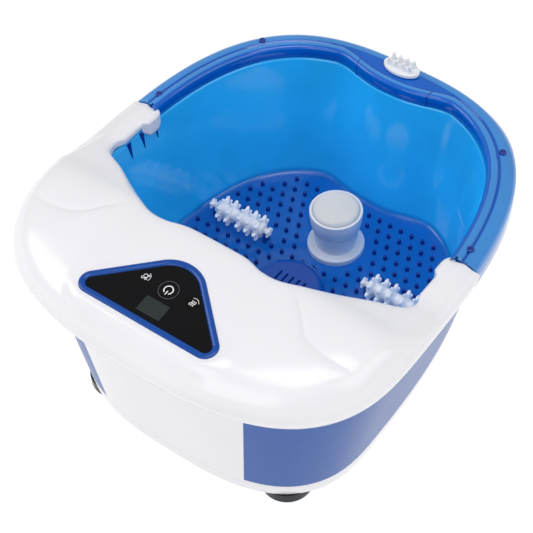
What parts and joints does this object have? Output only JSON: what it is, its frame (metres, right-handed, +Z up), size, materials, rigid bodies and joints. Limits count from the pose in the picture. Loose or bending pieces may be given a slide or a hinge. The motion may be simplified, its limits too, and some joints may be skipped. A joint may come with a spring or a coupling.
{
  "type": "foot spa basin",
  "caption": "Foot spa basin with a clear blue tub, white front control cover, massage rollers, pumice post, bubble outlet and rubber feet.",
  "frame": {"origin": "on the ground under the middle of the basin", "axes": "+Z up, -Y towards the control panel, +X to the right seen from the panel"},
  "size_m": [0.3842, 0.432, 0.2272],
  "materials": {
    "tub_blue": "clear blue moulded plastic",
    "cover_white": "satin gloss",
    "shell_white": "satin gloss",
    "panel_blue": "gloss",
    "bezel_blue": "clear gloss",
    "fascia_black": "high gloss",
    "display_glass": "smoked window",
    "fitting_white": "satin",
    "pumice": "fine pored stone",
    "foot_rubber": "smooth dark rubber",
    "seal_rubber": "soft rubber",
    "dark_plastic": "moulded",
    "board_green": "lacquered circuit board",
    "heater_metal": "mill finish",
    "screw_steel": "plated"
  },
  "bodies": {
    "housing": {"air_hose": "seal_rubber", "air_pump": "dark_plastic", "board_screws": "screw_steel", "bottom_pan": "shell_white", "bubble_cover": "tub_blue", "centre_post": "fitting_white", "control_bezel": "bezel_blue", "control_board": "board_green", "control_fascia": "fascia_black", "control_tray": "fitting_white", "cord_gland": "foot_rubber", "display_module": "dark_plastic", "display_window": "display_glass", "foot_front_left": "foot_rubber", "foot_front_right": "foot_rubber", "foot_rear_left": "foot_rubber", "foot_rear_right": "foot_rubber", "foot_screws": "screw_steel", "front_cover": "cover_white", "heater_element": "heater_metal", "heater_plate": "heater_metal", "outer_shell": "shell_white", "panel_screws": "screw_steel", "power_board": "board_green", "pump_mounts": "seal_rubber", "relay": "dark_plastic", "rim_screws": "screw_steel", "roller_axle_left": "screw_steel", "roller_axle_right": "screw_steel", "roller_caps_left": "fitting_white", "roller_caps_right": "fitting_white", "side_panel_left": "panel_blue", "side_panel_right": "panel_blue", "tact_switches": "dark_plastic", "terminal_block": "board_green", "thermostat": "dark_plastic", "transformer": "dark_plastic", "tray_gasket": "seal_rubber", "tub": "tub_blue"},
    "power_key": {"power_button": "fascia_black"},
    "bubble_key": {"bubble_button": "fascia_black"},
    "heat_key": {"heat_button": "fascia_black"},
    "left_roller": {"roller_left": "fitting_white"},
    "right_roller": {"roller_right": "fitting_white"},
    "pumice_head": {"pumice_holder": "fitting_white", "pumice_stone": "pumice"},
    "pin_head": {"massage_head": "fitting_white"}
  },
  "joints": [
    {"name": "power_press", "type": "slide", "parent": "housing", "child": "power_key", "axis": [0, 0.0872, -0.9962], "range_m": [0, 0.001], "stiffness_N_per_m": 600},
    {"name": "bubble_press", "type": "slide", "parent": "housing", "child": "bubble_key", "axis": [0, 0.0872, -0.9962], "range_m": [0, 0.001], "stiffness_N_per_m": 600},
    {"name": "heat_press", "type": "slide", "parent": "housing", "child": "heat_key", "axis": [0, 0.0872, -0.9962], "range_m": [0, 0.001], "stiffness_N_per_m": 600},
    {"name": "left_roller_spin", "type": "hinge", "parent": "housing", "child": "left_roller", "pos_m": [-0.091, 0.056, 0.0623], "axis": [1, 0, 0], "continuous": true},
    {"name": "right_roller_spin", "type": "hinge", "parent": "housing", "child": "right_roller", "pos_m": [0.091, 0.056, 0.0623], "axis": [1, 0, 0], "continuous": true},
    {"name": "pumice_lift", "type": "slide", "parent": "housing", "child": "pumice_head", "axis": [0, 0, 1], "range_m": [0, 0.18]},
    {"name": "massage_head_lift", "type": "slide", "parent": "housing", "child": "pin_head", "axis": [0, 0, 1], "range_m": [0, 0.045]}
  ]
}
